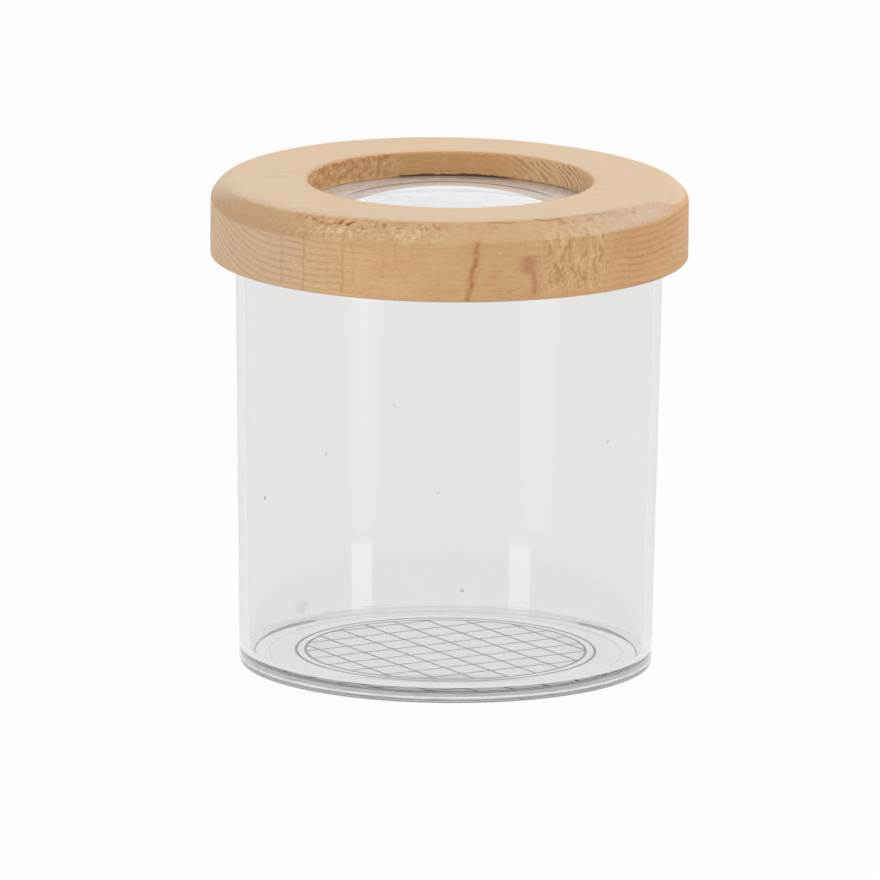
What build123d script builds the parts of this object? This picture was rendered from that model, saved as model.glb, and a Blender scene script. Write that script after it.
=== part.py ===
from build123d import *
import math
import os

# Bug catcher jar: a clear push-on viewer jar with a gridded floor and a wooden magnifier lid.
# Millimetres. The origin is the centre of the jar's foot, with +Z up along the axis of the jar.

# Clear jar
JAR_HEIGHT = 68.45
JAR_RIM_RADIUS = 32.25
JAR_TAPER = 1.25  # how much smaller the radius is at the foot
JAR_WALL = 1.4
FLOOR_THICKNESS = 1.55
FOOT_WIDTH = 4.5  # flat ring that the jar stands on
RIM_ROUND = 0.45
FOOT_ROUND = 0.5
RECESS_ROUND = 0.15
FLOOR_CORNER_ROUND = 1.2

# Film with the printed grid, in the recess under the floor
FILM_THICKNESS = 0.18
FILM_MARGIN = 0.3  # from the film's edge to the recess's wall
FILM_LIFT = 0.27  # from the film down to the surface that the jar stands on
INK_THICKNESS = 0.05
PRINT_MARGIN = 3.7  # bare film outside the outer ring
RING_SPACING = 1.42
RING_LINE = 0.4
GRID_PITCH = 5.0
GRID_LINE = 0.28
GRID_ANGLE = 31.0  # degrees, normal of the first set of lines
GRID_SHIFTS = (-1.8, -1.0)  # nearest line of each set, along its normal

# Clear cap with the magnifier
PUSH_FIT = 0.06  # radial, between the jar's rim and the cap's skirt
SKIRT_WALL = 1.24
SKIRT_INSET = 1.0  # the skirt ends this far above the wooden ring's lower edge
FLANGE_THICKNESS = 1.6
BEAD_HEIGHT = 0.15  # raised edge that the wooden ring sits on
BEAD_WIDTH = 3.5
LENS_INSET = 4.7  # flat flange that shows between the hole's wall and the lens
LENS_RISE = 2.2
SKIRT_ROUND = 0.3
BEAD_ROUND = 0.05

# Wooden ring
TURN_FIT = 0.08  # radial, between the cap's skirt and the wood
LID_WALL = 2.37
LID_HEIGHT = 11.8
LID_WEB = 3.75  # wood above the cap
HOLE_RADIUS = 21.3
BEVEL_WIDTH = 4.0
BEVEL_HEIGHT = 2.0
ARRIS_ROUND = 1.2  # where the side meets the bevel
TOP_ROUND = 4.0  # where the bevel meets the top
HOLE_ROUND = 0.9
LOWER_ROUND = 0.5
HIDDEN_ROUND = 0.2

# Levels from the foot upwards
film_bottom = FILM_LIFT
film_top = film_bottom + FILM_THICKNESS
recess_top = film_top + INK_THICKNESS
floor_top = recess_top + FLOOR_THICKNESS
flange_top = JAR_HEIGHT + FLANGE_THICKNESS
web_bottom = flange_top + BEAD_HEIGHT
lid_top = web_bottom + LID_WEB
lid_bottom = lid_top - LID_HEIGHT

# Radii from the jar outwards, and from the foot inwards
skirt_inside = JAR_RIM_RADIUS + PUSH_FIT
skirt_outside = skirt_inside + SKIRT_WALL
lid_bore = skirt_outside + TURN_FIT
lid_radius = lid_bore + LID_WALL
lens_radius = HOLE_RADIUS - LENS_INSET
foot_radius = JAR_RIM_RADIUS - JAR_TAPER
recess_radius = foot_radius - FOOT_WIDTH
film_radius = recess_radius - FILM_MARGIN
outer_ring_radius = film_radius - PRINT_MARGIN
inner_ring_radius = outer_ring_radius - RING_SPACING


def turned(corners):
    """Solid of revolution about Z. Each corner of its half section is (radius, height, rounding)."""
    points = [(radius, height) for radius, height, _ in corners]
    roundings = [rounding for _, _, rounding in corners]
    outline = FilletPolyline(*points, radius=roundings, close=True)
    return revolve(Plane.XZ * make_face(outline), Axis.Z)


def jar_body():
    rim_round = min(RIM_ROUND, 0.45 * JAR_WALL)
    return turned(
        [
            (0, recess_top, 0),
            (recess_radius, recess_top, RECESS_ROUND),
            (recess_radius, 0, RECESS_ROUND),
            (foot_radius, 0, FOOT_ROUND),
            (JAR_RIM_RADIUS, JAR_HEIGHT, rim_round),
            (JAR_RIM_RADIUS - JAR_WALL, JAR_HEIGHT, rim_round),
            (foot_radius - JAR_WALL, floor_top, FLOOR_CORNER_ROUND),
            (0, floor_top, 0),
        ]
    )


def grid_film():
    return Pos(0, 0, film_bottom) * extrude(Circle(film_radius), FILM_THICKNESS)


def ring_line(radius):
    return Circle(radius + RING_LINE / 2) - Circle(radius - RING_LINE / 2)


def grid_lines(normal_angle, shift):
    """One set of parallel lines that crosses the inner ring."""
    count = math.ceil(inner_ring_radius / GRID_PITCH)
    offsets = [shift + step * GRID_PITCH for step in range(-count, count + 1)]
    crossing = [offset for offset in offsets if abs(offset) < inner_ring_radius]
    bar = Rectangle(GRID_LINE, 2 * inner_ring_radius)
    return [Rot(0, 0, normal_angle) * Pos(offset, 0) * bar for offset in crossing]


def grid_print():
    first, second = GRID_SHIFTS
    bars = grid_lines(GRID_ANGLE, first) + grid_lines(GRID_ANGLE + 90, second)
    lattice = (Sketch() + bars) & Circle(inner_ring_radius)
    ink = lattice + ring_line(inner_ring_radius) + ring_line(outer_ring_radius)
    return Pos(0, 0, film_top) * extrude(ink, INK_THICKNESS)


def lens_dome():
    """Shallow spherical cap on the flange."""
    apex = (0, flange_top + LENS_RISE)
    edge = (lens_radius, flange_top)
    foot = (0, flange_top)
    section = make_face([TangentArc(apex, edge, tangent=(1, 0)), Line(edge, foot), Line(foot, apex)])
    return revolve(Plane.XZ * section, Axis.Z)


def lens_cap():
    skirt_bottom = lid_bottom + SKIRT_INSET
    bead_inside = skirt_outside - BEAD_WIDTH
    cap = turned(
        [
            (0, JAR_HEIGHT, 0),
            (skirt_inside, JAR_HEIGHT, 0),
            (skirt_inside, skirt_bottom, SKIRT_ROUND),
            (skirt_outside, skirt_bottom, SKIRT_ROUND),
            (skirt_outside, web_bottom, SKIRT_ROUND),
            (bead_inside, web_bottom, BEAD_ROUND),
            (bead_inside, flange_top, BEAD_ROUND),
            (0, flange_top, 0),
        ]
    )
    return cap + lens_dome()


def lid_ring():
    return turned(
        [
            (lid_bore, lid_bottom, HIDDEN_ROUND),
            (lid_radius, lid_bottom, LOWER_ROUND),
            (lid_radius, lid_top - BEVEL_HEIGHT, ARRIS_ROUND),
            (lid_radius - BEVEL_WIDTH, lid_top, TOP_ROUND),
            (HOLE_RADIUS, lid_top, HOLE_ROUND),
            (HOLE_RADIUS, web_bottom, HIDDEN_ROUND),
            (lid_bore, web_bottom, 0),
        ]
    )


os.makedirs("parts", exist_ok=True)
for piece in (jar_body, grid_film, grid_print, lens_cap, lid_ring):
    solid = piece()
    export_step(solid, f"parts/{piece.__name__}.step")
    print(piece.__name__, "volume", round(solid.volume, 1), "mm3")
print("height", round(lid_top, 2), "mm, lid radius", round(lid_radius, 2), "mm")
print("outer printed ring, radius", round(outer_ring_radius, 2), "mm")
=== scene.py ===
# %% [markdown]
# # A bug catcher jar
# This lesson dresses a packed CAD model in Blender. The object is a clear moulded jar with a printed
# grid under its floor, and a lid made of a clear magnifier cap inside a turned wooden ring.
# The CAD model is the frame: it says how large each piece is and where it sits, so nothing is fitted here.

# %% Load the frame
import math

import bpy
import numpy as np
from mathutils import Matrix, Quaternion, Vector, noise


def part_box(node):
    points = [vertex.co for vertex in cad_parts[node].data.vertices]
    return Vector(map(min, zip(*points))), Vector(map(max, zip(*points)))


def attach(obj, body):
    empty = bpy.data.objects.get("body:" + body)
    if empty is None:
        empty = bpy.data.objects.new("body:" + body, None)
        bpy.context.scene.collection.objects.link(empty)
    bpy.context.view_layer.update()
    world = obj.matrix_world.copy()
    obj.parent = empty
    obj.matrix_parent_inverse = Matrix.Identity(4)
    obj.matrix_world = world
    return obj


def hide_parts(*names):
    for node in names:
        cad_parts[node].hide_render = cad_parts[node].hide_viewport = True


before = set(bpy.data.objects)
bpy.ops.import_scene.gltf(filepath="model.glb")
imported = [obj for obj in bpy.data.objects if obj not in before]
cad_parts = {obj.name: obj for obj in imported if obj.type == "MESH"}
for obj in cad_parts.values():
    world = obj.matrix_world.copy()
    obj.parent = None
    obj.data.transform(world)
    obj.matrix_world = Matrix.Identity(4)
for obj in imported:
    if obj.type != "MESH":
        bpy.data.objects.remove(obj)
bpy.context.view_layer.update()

MM = 0.001

# %% [markdown]
# ## Sizes that every step shares
# The outer sizes are read from the frame. The few inner sizes that a box can't tell, such as a wall's
# thickness, are repeated here by name, in millimetres. All of them could be typed in again, but then a
# change in the CAD model would leave the dressed pieces behind.

# %% Read the sizes
def span(node):
    """Radius, lowest and highest level of a round CAD node, in millimetres."""
    low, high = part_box(node)
    return high.x / MM, low.z / MM, high.z / MM


film_radius, film_bottom, film_top = span("grid_film")
print_radius, print_bottom, print_top = span("grid_print")
lid_radius, lid_bottom, lid_top = span("lid_ring")
cap_radius, cap_bottom, lens_top = span("lens_cap")
jar_height = span("jar_body")[2]

JAR_RIM_RADIUS, JAR_TAPER, JAR_WALL = 32.25, 1.25, 1.4
FLOOR_THICKNESS, FOOT_WIDTH = 1.55, 4.5
LID_WEB, BEAD_HEIGHT, HOLE_RADIUS, LID_BORE = 3.75, 0.15, 21.3, 33.63
LENS_INSET = 4.7
web_bottom = lid_top - LID_WEB
flange_top = web_bottom - BEAD_HEIGHT
foot_radius = JAR_RIM_RADIUS - JAR_TAPER
recess_top = print_top
floor_top = recess_top + FLOOR_THICKNESS
lens_radius = HOLE_RADIUS - LENS_INSET
print("jar", round(jar_height, 2), "mm high, lid", round(2 * lid_radius, 1), "mm across")

# %% [markdown]
# ## Camera
# A long lens far away keeps the round edges nearly parallel, as a product photograph does. The centre of
# the jar's foot has to lie on one given pixel. A shifted lens could do that too, but every other view
# keeps the shift and would be off centre, so the camera is turned instead.

# %% Aim the camera
PICTURE = 880
FOOT_PIXEL = (445.4, 660.0)
PIXELS_PER_MM = 6.641
CAMERA_DISTANCE = 5.0
CAMERA_ELEVATION = math.radians(12.2)
CAMERA_ROLL = 0.0095  # radians
SENSOR_WIDTH = 36
FAR_LIMIT = 50  # metres, beyond the floor's far edge


def aim_camera():
    focal = PIXELS_PER_MM / MM * CAMERA_DISTANCE
    back = Vector((0, -math.cos(CAMERA_ELEVATION), math.sin(CAMERA_ELEVATION)))
    roll = Quaternion((0, 0, 1), -CAMERA_ROLL)
    # The direction of the foot's pixel, as the camera sees it
    foot = Vector((FOOT_PIXEL[0] - PICTURE / 2, PICTURE / 2 - FOOT_PIXEL[1], -focal))
    ahead = Vector((0, 0, -1))
    # The turn that carries the middle of the picture onto that pixel, with the roll
    swing = roll @ ahead.rotation_difference(roll.inverted() @ foot)
    lens = bpy.data.cameras.new("camera")
    lens.sensor_width = SENSOR_WIDTH
    lens.lens = SENSOR_WIDTH * focal / PICTURE
    lens.clip_end = FAR_LIMIT
    camera = bpy.data.objects.new("camera", lens)
    camera.rotation_mode = "QUATERNION"
    camera.location = back * CAMERA_DISTANCE
    camera.rotation_quaternion = (-back).to_track_quat("-Z", "Y") @ swing.inverted()
    bpy.context.scene.collection.objects.link(camera)
    bpy.context.scene.camera = camera
    return camera


print("lens, mm:", round(aim_camera().data.lens, 1))

# %% [markdown]
# ## Shader sums
# A material is easier to read as sums than as a web of nodes. `Field` wraps a socket, so that
# `1 - mask * 0.5` adds the Math nodes by itself. The same sums could be wired by hand in the node editor,
# but there a change is harder to see and to repeat.

# %% Field
class Field:
    """A shader socket that takes part in Python sums."""

    def __init__(self, finish, socket):
        self.finish = finish
        self.socket = socket

    def math(self, operation, other=0.0, swapped=False):
        pair = (other, self) if swapped else (self, other)
        return self.finish.node("ShaderNodeMath", {"operation": operation}, {0: pair[0], 1: pair[1]})

    def step(self, low, high, to_low=0.0, to_high=1.0):
        """Smooth ramp from to_low at low to to_high at high."""
        settings = {"interpolation_type": "SMOOTHSTEP"}
        sockets = {0: self, 1: low, 2: high, 3: to_low, 4: to_high}
        return self.finish.node("ShaderNodeMapRange", settings, sockets)

    def bell(self, middle, width):
        """1 at middle, falling to 0 at width on either side."""
        return (self - middle).math("ABSOLUTE").step(width, 0.0)


OPERATIONS = {"add": "ADD", "sub": "SUBTRACT", "mul": "MULTIPLY", "truediv": "DIVIDE"}
for python_name, operation in OPERATIONS.items():
    setattr(Field, f"__{python_name}__", lambda a, b, o=operation: a.math(o, b))
    setattr(Field, f"__r{python_name}__", lambda a, b, o=operation: a.math(o, b, swapped=True))
print("Field sums:", ", ".join(OPERATIONS))

# %% [markdown]
# ### One material
# `Finish` holds one material or world. Its `node` method adds any node: first its settings, then the
# values or links of its sockets. Each kind of node could have a function of its own, but one method serves
# them all, and the short methods after it only name what is used often.

# %% Finish
class Finish:
    """One material or world, and its nodes."""

    def __init__(self, owner):
        owner.use_nodes = True
        self.owner = owner
        self.tree = owner.node_tree
        self.tree.nodes.clear()

    def node(self, kind, settings=None, sockets=None, output=0):
        made = self.tree.nodes.new(kind)
        for name, value in (settings or {}).items():
            setattr(made, name, value)
        for key, value in (sockets or {}).items():
            if isinstance(value, Field):
                self.tree.links.new(value.socket, made.inputs[key])
            else:
                made.inputs[key].default_value = value
        return Field(self, made.outputs[output]) if made.outputs else None

    def mix(self, factor, first, second):
        """Two colours mixed by a number."""
        return self.node("ShaderNodeMix", {"data_type": "RGBA"}, {0: factor, 6: first, 7: second}, output=2)

    def noise(self, place, scale=1.0, detail=2.0, roughness=0.5):
        sockets = {"Vector": place, "Scale": scale, "Detail": detail, "Roughness": roughness}
        return self.node("ShaderNodeTexNoise", None, sockets)

    def place(self, scale=(1.0, 1.0, 1.0)):
        """Object coordinates in millimetres, stretched."""
        coordinates = self.node("ShaderNodeTexCoord", output="Object")
        sockets = {"Vector": coordinates, "Scale": [side / MM for side in scale]}
        return self.node("ShaderNodeMapping", None, sockets)

    def axes(self, place):
        split = self.node("ShaderNodeSeparateXYZ", None, {0: place})
        return [Field(self, socket) for socket in split.socket.node.outputs]

    def radius(self):
        """Distance from the object's axis in millimetres."""
        across, away, _ = self.axes(self.place())
        return (across * across + away * away).math("SQRT")

    def mask(self, name):
        """A number that the mesh carries in each point."""
        return self.node("ShaderNodeAttribute", {"attribute_name": name}, output="Fac")

    def bump(self, height, distance):
        sockets = {"Height": height, "Distance": distance, "Strength": 1.0}
        return self.node("ShaderNodeBump", None, sockets, output="Normal")

    def principled(self, **sockets):
        named = {key.replace("_", " "): value for key, value in sockets.items()}
        self.end(self.node("ShaderNodeBsdfPrincipled", None, named))
        return self.owner

    def end(self, surface, volume=None):
        is_world = isinstance(self.owner, bpy.types.World)
        kind = "ShaderNodeOutputWorld" if is_world else "ShaderNodeOutputMaterial"
        ends = {"Surface": surface, "Volume": volume}
        self.node(kind, None, {name: end for name, end in ends.items() if end})


def colour(red, green, blue):
    """An sRGB colour of 0 to 255 as the linear colour that a socket takes."""
    linear = [((c / 255 + 0.055) / 1.055) ** 2.4 for c in (red, green, blue)]
    return (*linear, 1.0)


WHITE = (1.0, 1.0, 1.0, 1.0)
print("mid grey, as a socket takes it:", round(colour(128, 128, 128)[0], 3))

# %% [markdown]
# ## Stage
# The world is white wherever the camera sees it, straight on or through clear plastic, as a white backdrop
# in a studio is. For every other ray it gives soft, even light. A brighter world would look as white, but
# would wash out the wood, so only the rays that show it are set to white.

# %% World
WORLD_LIGHT = 0.58


def ray_path(finish, output):
    return finish.node("ShaderNodeLightPath", output=output)


def seen(finish):
    """1 where the camera looks, straight on, in a reflection or through something clear."""
    other = ray_path(finish, "Is Glossy Ray").math("MAXIMUM", ray_path(finish, "Is Transmission Ray"))
    return other.math("MAXIMUM", ray_path(finish, "Is Camera Ray"))


def light_world():
    world = bpy.data.worlds.new("studio")
    bpy.context.scene.world = world
    finish = Finish(world)
    soft = finish.node("ShaderNodeBackground", None, {"Color": WHITE, "Strength": WORLD_LIGHT})
    white = finish.node("ShaderNodeBackground", None, {"Color": WHITE, "Strength": 1.0})
    finish.end(finish.node("ShaderNodeMixShader", None, {0: seen(finish), 1: soft, 2: white}))


light_world()
bpy.context.scene.view_settings.view_transform = "Standard"
print("world light:", WORLD_LIGHT)

# %% [markdown]
# ### Floor
# The floor is white to the camera too, but keeps a share of its real shading, so that the lid's shadow
# stays on it. The jar's wall leans the camera's rays down onto the floor, so its upright highlights come
# from wedges of light there, which only a first reflection sees. Each wedge fans out from the spot behind
# the wall where a round mirror gathers its rays, so the highlight stays upright. Tall lamps could make
# such highlights, but they would also light the wood.

# %% Floor and its light
FLOOR_TONE = 0.8
FLOOR_GLOW = 0.94
FLOOR_SIZE = 30.0
FLOOR_DROP = 0.02  # the floor lies a hair below the foot, so that the two faces don't coincide
LIGHT_WEDGES = [  # bearing on the wall, half width in degrees, softness, from and to in mm, glow at both
    (-23.8, 3.7, 0.3, 55, 94, 2.3, 2.5),
    (20.5, 3.6, 0.3, 55, 94, 2.1, 2.3),
    (-23.4, 8.0, 1.0, 104, 260, 1.0, 1.75),
    (25.2, 9.5, 1.0, 104, 260, 0.95, 1.4),
]
WEDGE_PEAK = max(wedge[-1] for wedge in LIGHT_WEDGES)
START_BLUR = 8  # mm on either side of a wedge's start over which it comes in
STOP_BLUR = (10, 4)  # mm beyond and before its end over which it fades


def light_wedge(across, away, bearing, half_width, softness, near, far, near_glow, far_glow):
    """Glow of one wedge, laid out by the mirror rule for the wall at that bearing."""
    turn = math.radians(bearing)
    to_side, to_front = math.sin(2 * turn), -math.cos(2 * turn)
    behind = foot_radius / 2 * math.cos(turn)
    apex_across = foot_radius * math.sin(turn) - behind * to_side
    apex_away = -foot_radius * math.cos(turn) - behind * to_front
    along = (across - apex_across) * to_side + (away - apex_away) * to_front
    aside = (across - apex_across) * to_front - (away - apex_away) * to_side
    half = math.tan(math.radians(2 * half_width))
    edge = (aside / along).math("ABSOLUTE").step(half, half * (1 - softness))
    start = along.step(behind + near - START_BLUR, behind + near + START_BLUR)
    stop = along.step(behind + far + STOP_BLUR[0], behind + far - STOP_BLUR[1])
    return edge * start * stop * along.step(behind + near, behind + far, near_glow, far_glow)


def light_wedges(finish):
    across, away, _ = finish.axes(finish.place())
    glows = [light_wedge(across, away, *wedge) for wedge in LIGHT_WEDGES]
    first = ray_path(finish, "Ray Depth").math("LESS_THAN", 1.5)
    first_reflection = ray_path(finish, "Is Glossy Ray") * first
    return sum(glows[1:], glows[0]) * first_reflection


def lay_floor():
    mesh = bpy.data.meshes.new("floor")
    half = FLOOR_SIZE / 2
    drop = -FLOOR_DROP * MM
    corners = [(-half, -half, drop), (half, -half, drop), (half, half, drop), (-half, half, drop)]
    mesh.from_pydata(corners, [], [(0, 1, 2, 3)])
    floor = bpy.data.objects.new("floor", mesh)
    bpy.context.scene.collection.objects.link(floor)
    finish = Finish(bpy.data.materials.new("white_floor"))
    grey = (FLOOR_TONE, FLOOR_TONE, FLOOR_TONE, 1)
    paint = finish.node("ShaderNodeBsdfDiffuse", None, {"Color": grey})
    white = finish.node("ShaderNodeEmission", None, {"Color": WHITE, "Strength": 1.0})
    bright = finish.node("ShaderNodeEmission", None, {"Color": WHITE, "Strength": 1.0 + WEDGE_PEAK})
    wedges = light_wedges(finish) / WEDGE_PEAK
    glow = finish.node("ShaderNodeMixShader", None, {0: wedges, 1: white, 2: bright})
    finish.end(finish.node("ShaderNodeMixShader", None, {0: seen(finish) * FLOOR_GLOW, 1: paint, 2: glow}))
    mesh.materials.append(finish.owner)


lay_floor()
print("wedges of light on the floor:", len(LIGHT_WEDGES), "brightest:", WEDGE_PEAK)

# %% [markdown]
# ### Lamps
# Three round softboxes light the wood from above, from the front and from the left. The world alone could
# light it, but too evenly to show the bevel and the torn grain. The lamps are hidden from reflected and
# bent rays, so that they don't show as round patches in the clear plastic.

# %% Lamps
LAMPS = [  # name, place and width in metres, power in watts
    ("top_softbox", (0.34, 0.22, 0.68), 0.6, 2.75),
    ("front_softbox", (0.4, -0.85, 0.3), 0.5, 1.6),
    ("left_softbox", (-0.8, -0.3, 0.2), 0.45, 1.9),
]


def hang_lamp(name, place, size, power):
    lamp = bpy.data.lights.new(name, "AREA")
    lamp.shape = "DISK"
    lamp.size = size
    lamp.energy = power
    holder = bpy.data.objects.new(name, lamp)
    holder.location = place
    holder.rotation_mode = "QUATERNION"
    aim = Vector((0, 0, lid_top / 2 * MM)) - Vector(place)
    holder.rotation_quaternion = aim.to_track_quat("-Z", "Y")
    holder.visible_glossy = False
    holder.visible_transmission = False
    bpy.context.scene.collection.objects.link(holder)


for lamp in LAMPS:
    hang_lamp(*lamp)
print("lamps:", ", ".join(name for name, *_ in LAMPS))

# %% [markdown]
# ## Turned pieces
# The jar, its film and the cap are bodies of revolution. Each is spun from its half section, whose corners
# are given as radius, height and rounding. Clear plastic shows every facet, so each point also carries the
# exact normal of the section. A Bevel modifier could round the corners later, but it leaves the normals to
# be guessed from the faces.

# %% Half section
ARC_STEPS = 8


def corner_arc(corners, index, steps):
    """Points and outward normals of one rounded corner of a section that runs anticlockwise."""
    count = len(corners)
    here = np.array(corners[index][:2], float)
    before = np.array(corners[index - 1][:2], float) - here
    after = np.array(corners[(index + 1) % count][:2], float) - here
    before /= np.linalg.norm(before)
    after /= np.linalg.norm(after)
    normal_in = np.array((-before[1], before[0]))
    normal_out = np.array((after[1], -after[0]))
    middle = before + after
    middle /= np.linalg.norm(middle)
    half_angle = math.acos(np.clip(before @ after, -1, 1)) / 2
    rounding = corners[index][2]
    centre = here + middle * rounding / math.sin(half_angle)
    turned_out = 1 if normal_in @ middle < 0 else -1
    shares = np.linspace(0, 1, steps + 1)[:, None]
    normals = (1 - shares) * normal_in + shares * normal_out
    normals /= np.linalg.norm(normals, axis=1)[:, None]
    return centre + turned_out * rounding * normals, normals


def half_section(corners):
    """Points and normals of a section from axis to axis. Its first and last stretch are level."""
    points = [np.array([corners[0][:2]], float)]
    normals = [np.array([(0.0, -1.0)])]
    for index in range(1, len(corners) - 1):
        arc = corner_arc(corners, index, ARC_STEPS)
        points.append(arc[0])
        normals.append(arc[1])
    points.append(np.array([corners[-1][:2]], float))
    normals.append(np.array([(0.0, 1.0)]))
    return np.concatenate(points), np.concatenate(normals)


print("points in each rounded corner:", ARC_STEPS + 1)

# %% [markdown]
# ### Spin
# The section is turned about the upright axis in small steps, and its normals turn with it. A Screw
# modifier could spin the section too, but gives no exact normals.

# %% Spin it
SPIN_STEPS = 256


def spun_mesh(name, section, normals):
    """Mesh of a half section spun about Z. A point on the axis becomes one pole."""
    angles = np.arange(SPIN_STEPS) * 2 * math.pi / SPIN_STEPS
    ring = np.stack([np.cos(angles), np.sin(angles)], -1)
    verts, directions, rows = [], [], []
    for (radius, height), (outward, upward) in zip(section, normals):
        start = len(verts)
        around = ring if radius > 0 else ring[:1]
        verts += [(radius * MM * c, radius * MM * s, height * MM) for c, s in around]
        directions += [(outward * c, outward * s, upward) for c, s in around]
        rows.append([start + i % len(around) for i in range(SPIN_STEPS + 1)])
    faces = []
    for low, high in zip(rows, rows[1:]):
        for i in range(SPIN_STEPS):
            corners = [low[i], low[i + 1], high[i + 1], high[i]]
            faces.append(list(dict.fromkeys(corners)))
    mesh = bpy.data.meshes.new(name)
    mesh.from_pydata(verts, [], faces)
    mesh.polygons.foreach_set("use_smooth", [True] * len(mesh.polygons))
    mesh.normals_split_custom_set_from_vertices(directions)
    return mesh


def add_piece(mesh, material, body, node):
    """Links a finished mesh as the piece that stands for a CAD node."""
    piece = bpy.data.objects.new(mesh.name, mesh)
    bpy.context.scene.collection.objects.link(piece)
    mesh.materials.clear()
    mesh.materials.append(material)
    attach(piece, body)
    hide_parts(node)
    print(piece.name, "has", len(mesh.polygons), "faces")


print("steps round the axis:", SPIN_STEPS)

# %% [markdown]
# ## Clear plastic
# Moulded clear plastic bends light like glass, but takes a little of it, so the empty jar looks a shade
# greyer than the white behind it. A see-through finish with no bending would be simpler, but it loses the
# bright and dark bands of the foot and the rim. A smudge and a few specks show handling.

# %% Smudge and specks
SMUDGE_TONE = colour(70, 62, 56)
SMUDGES = [  # bearing on the wall, height, reach, strength
    (-132.8, 3.5, 1.7, 0.25),
    (4.4, 17.4, 0.40, 0.6),
    (49.2, 38.2, 0.45, 0.5),
    (-60.0, 28.0, 0.48, 0.8),
    (-2.5, 32.4, 0.35, 0.4),
    (-34.9, 37.0, 0.40, 0.3),
    (-14.5, 45.5, 0.40, 0.25),
]


def smudge(finish, bearing_on_wall, height, reach, strength):
    turn = math.radians(bearing_on_wall)
    out = foot_radius + JAR_TAPER * height / jar_height
    spot = (out * math.sin(turn), -out * math.cos(turn), height)
    sockets = {0: finish.place(), 1: spot}
    gap = finish.node("ShaderNodeVectorMath", {"operation": "DISTANCE"}, sockets, output="Value")
    return gap.step(reach, reach * 0.3) * strength


print("smudge and specks:", len(SMUDGES))

# %% [markdown]
# ### Tints
# The floor is clearer than the wall, the foot is darker, and the lens and its flange differ in tone. The
# flange's warm tone is a painted reflection of the wood round it. The print, caught in the floor's edge,
# shows there as broken streaks. Separate materials could hold these tints, but one piece keeps one
# material, so they are mixed by height and radius.

# %% Tints of the plastic
FLOOR_EDGE = foot_radius - JAR_WALL - 0.6  # the floor runs into the wall's rounded corner here
FOOT_FADE = (1.3, 0.4)  # levels between which the foot's tint comes in
FOOT_TINT, STREAK_TINT = (0.68, 0.66, 0.65, 1), colour(120, 110, 108)
# the flange's warm tint is a painted reflection of the wood round it
DOME_TINT, FLANGE_REFLECTION_TINT = (0.765, 0.790, 0.800, 1), (1.0, 0.955, 0.905, 1)


def plastic_tint(finish, tint):
    """The plastic's own tint, changed in the floor, at the foot, in the lens and by handling, with a
    painted reflection of the wood on the flange.
    """
    height = finish.axes(finish.place())[2]
    streak = finish.noise(finish.place((0.22, 0.22, 2.2)), detail=3.0).step(0.50, 0.62)
    streak = streak * height.bell(recess_top + 0.6, 1.1).step(0.0, 0.4)
    below_top = height.step(floor_top + 0.6, floor_top + 0.3)
    in_floor = finish.radius().step(FLOOR_EDGE, FLOOR_EDGE - 0.4) * below_top
    base = finish.mix(in_floor, tint, WHITE)
    base = finish.mix(height.step(*FOOT_FADE) * (1.0 - in_floor), base, FOOT_TINT)
    base = finish.mix(streak * (1.0 - in_floor) * 0.3, base, STREAK_TINT)
    in_lens = finish.radius().step(lens_radius + 0.2, lens_radius)
    base = finish.mix(height.step(flange_top, flange_top + 0.1) * in_lens, base, DOME_TINT)
    # painted reflection: the flange takes the warm tone of the wood it mirrors
    in_flange = height.step(jar_height - 0.2, jar_height - 0.1) * (1.0 - in_lens)
    base = finish.mix(in_flange, base, FLANGE_REFLECTION_TINT)
    for spot in SMUDGES:
        base = finish.mix(smudge(finish, *spot), base, SMUDGE_TONE)
    return base


print("the floor is clear inside a radius of", round(FLOOR_EDGE, 2), "mm")

# %% [markdown]
# ### Light in the plastic
# Some light is lost at each face and some on the way through the wall, and the two together keep the wall
# even right up to its edge. A renderer stops following light that is caught between two faces and shows
# it as black. More bounces could follow it further, but slowly. So in the floor, the rim and the cap the
# plastic lets it out after one such turn. It also lets lamp light straight through, as the real jar does.

# %% Clear plastic
PLASTIC_IOR = 1.5
LOSS_PER_METRE = 28.0
KEEPS_ABOVE_FOOT, KEEPS_ABOVE_LID_EDGE = 3.0, 1.0  # between these the wall keeps light that is caught


def clear_plastic(name, tint, loss, clarity, keeps_from, keeps_to):
    finish = Finish(bpy.data.materials.new(name))
    height = finish.axes(finish.place())[2]
    smears = finish.noise(finish.place(), 0.12, detail=3.0)
    bending = {
        "Base Color": plastic_tint(finish, tint),
        "Roughness": smears.step(0.45, 0.75, 0.0, 0.04),
        "IOR": PLASTIC_IOR,
        "Transmission Weight": clarity,
    }
    plastic = finish.node("ShaderNodeBsdfPrincipled", None, bending)
    straight = finish.node("ShaderNodeBsdfTransparent", None, {"Color": tint})
    lamp_light = ray_path(finish, "Is Shadow Ray").math("MAXIMUM", ray_path(finish, "Is Diffuse Ray"))
    keeps = height.math("GREATER_THAN", keeps_from) * height.math("LESS_THAN", keeps_to)
    caught = ray_path(finish, "Glossy Depth").math("GREATER_THAN", 0.5) * (1.0 - keeps)
    sides = {0: caught.math("MAXIMUM", lamp_light), 1: plastic, 2: straight}
    inside = finish.node("ShaderNodeVolumeAbsorption", None, {"Color": (0, 0, 0, 1), "Density": loss})
    finish.end(finish.node("ShaderNodeMixShader", None, sides), inside)
    return finish.owner


jar_tint, cap_tint = (0.919, 0.919, 0.915, 1), (0.97, 0.975, 0.98, 1)
wall_keeps = (KEEPS_ABOVE_FOOT, lid_bottom + KEEPS_ABOVE_LID_EDGE)
jar_plastic = clear_plastic("clear_jar_plastic", jar_tint, LOSS_PER_METRE, 1.0, *wall_keeps)
cap_plastic = clear_plastic("clear_cap_plastic", cap_tint, LOSS_PER_METRE / 3, 0.74, 0.0, 0.0)
print("plastics:", jar_plastic.name, cap_plastic.name)

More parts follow.
